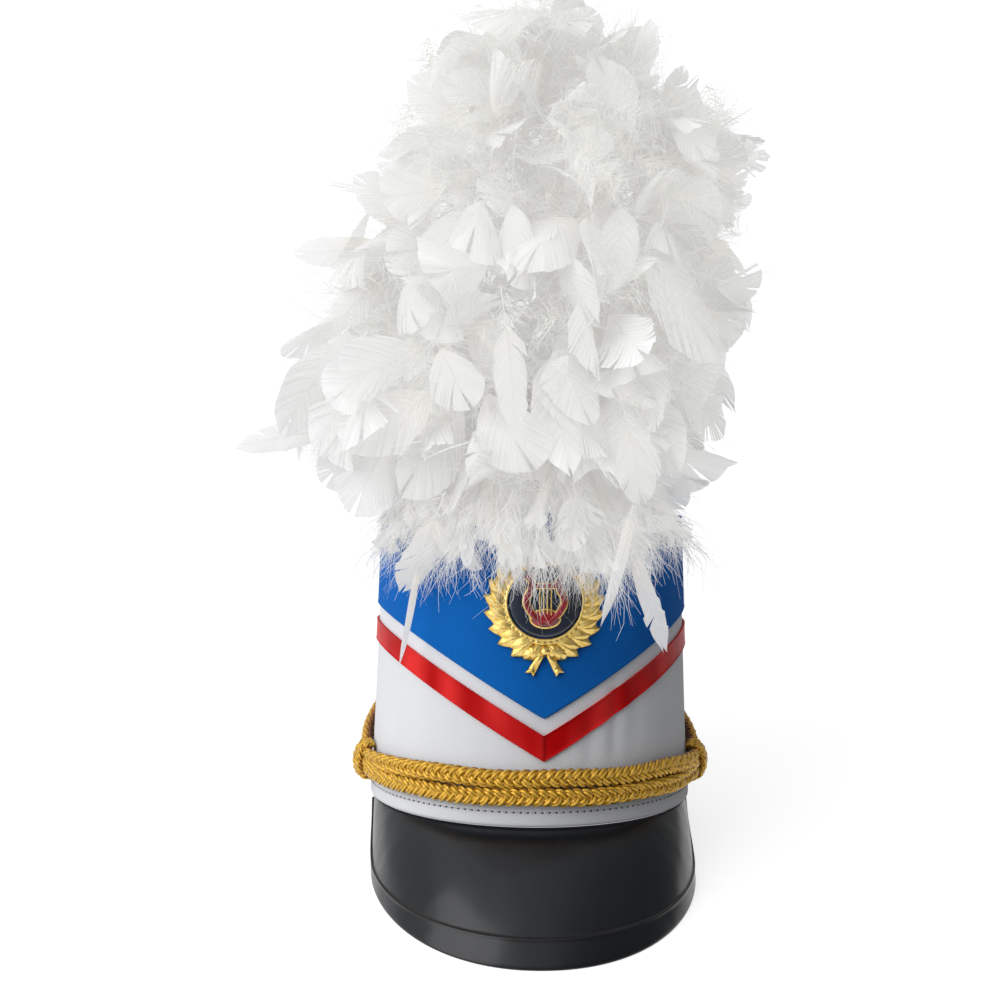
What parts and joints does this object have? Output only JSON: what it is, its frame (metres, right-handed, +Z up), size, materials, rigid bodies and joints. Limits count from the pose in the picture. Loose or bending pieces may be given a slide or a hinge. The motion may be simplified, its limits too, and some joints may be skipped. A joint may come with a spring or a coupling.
{
  "type": "marching band hat",
  "caption": "Stiff white shako with a blue upper panel, red ribbon chevron, braided gold cord, enamelled badge, glossy black peak and a tall white feather plume.",
  "frame": {"origin": "centre of the footprint of the whole hat, on the surface it stands on", "axes": "+Z up, -Y towards the front of the peak, +X towards the wearer's left; the crown leans back so that the peak's edge and the back of the rim both touch the surface"},
  "size_m": [0.2854, 0.297, 0.4592],
  "materials": {
    "white_twill": "white cotton twill over a stiff wall",
    "blue_twill": "royal blue cotton twill",
    "red_satin": "red satin ribbon",
    "black_plastic": "glossy moulded black plastic",
    "gold_cord": "braided golden yellow cord with a silky sheen",
    "gilt_metal": "gilt stamped metal",
    "red_enamel": "clear dark red enamel",
    "navy_enamel": "dark navy enamel",
    "white_feather": "white feathers with downy bases",
    "plume_stem": "plain stem"
  },
  "bodies": {
    "root": {"crown_wall": "white_twill", "crown_top": "blue_twill", "blue_panel": "blue_twill", "red_ribbon": "red_satin", "peak": "black_plastic", "cord_upper": "gold_cord", "cord_lower": "gold_cord", "cord_knot_right": "gold_cord", "cord_knot_left": "gold_cord", "cord_loop_right": "gold_cord", "cord_loop_left": "gold_cord", "cord_button_right": "gilt_metal", "cord_button_left": "gilt_metal", "badge_wreath": "gilt_metal", "badge_ground": "navy_enamel", "badge_lyre": "red_enamel", "plume": "white_feather", "plume_fall": "white_feather", "plume_post": "plume_stem"}
  },
  "joints": []
}
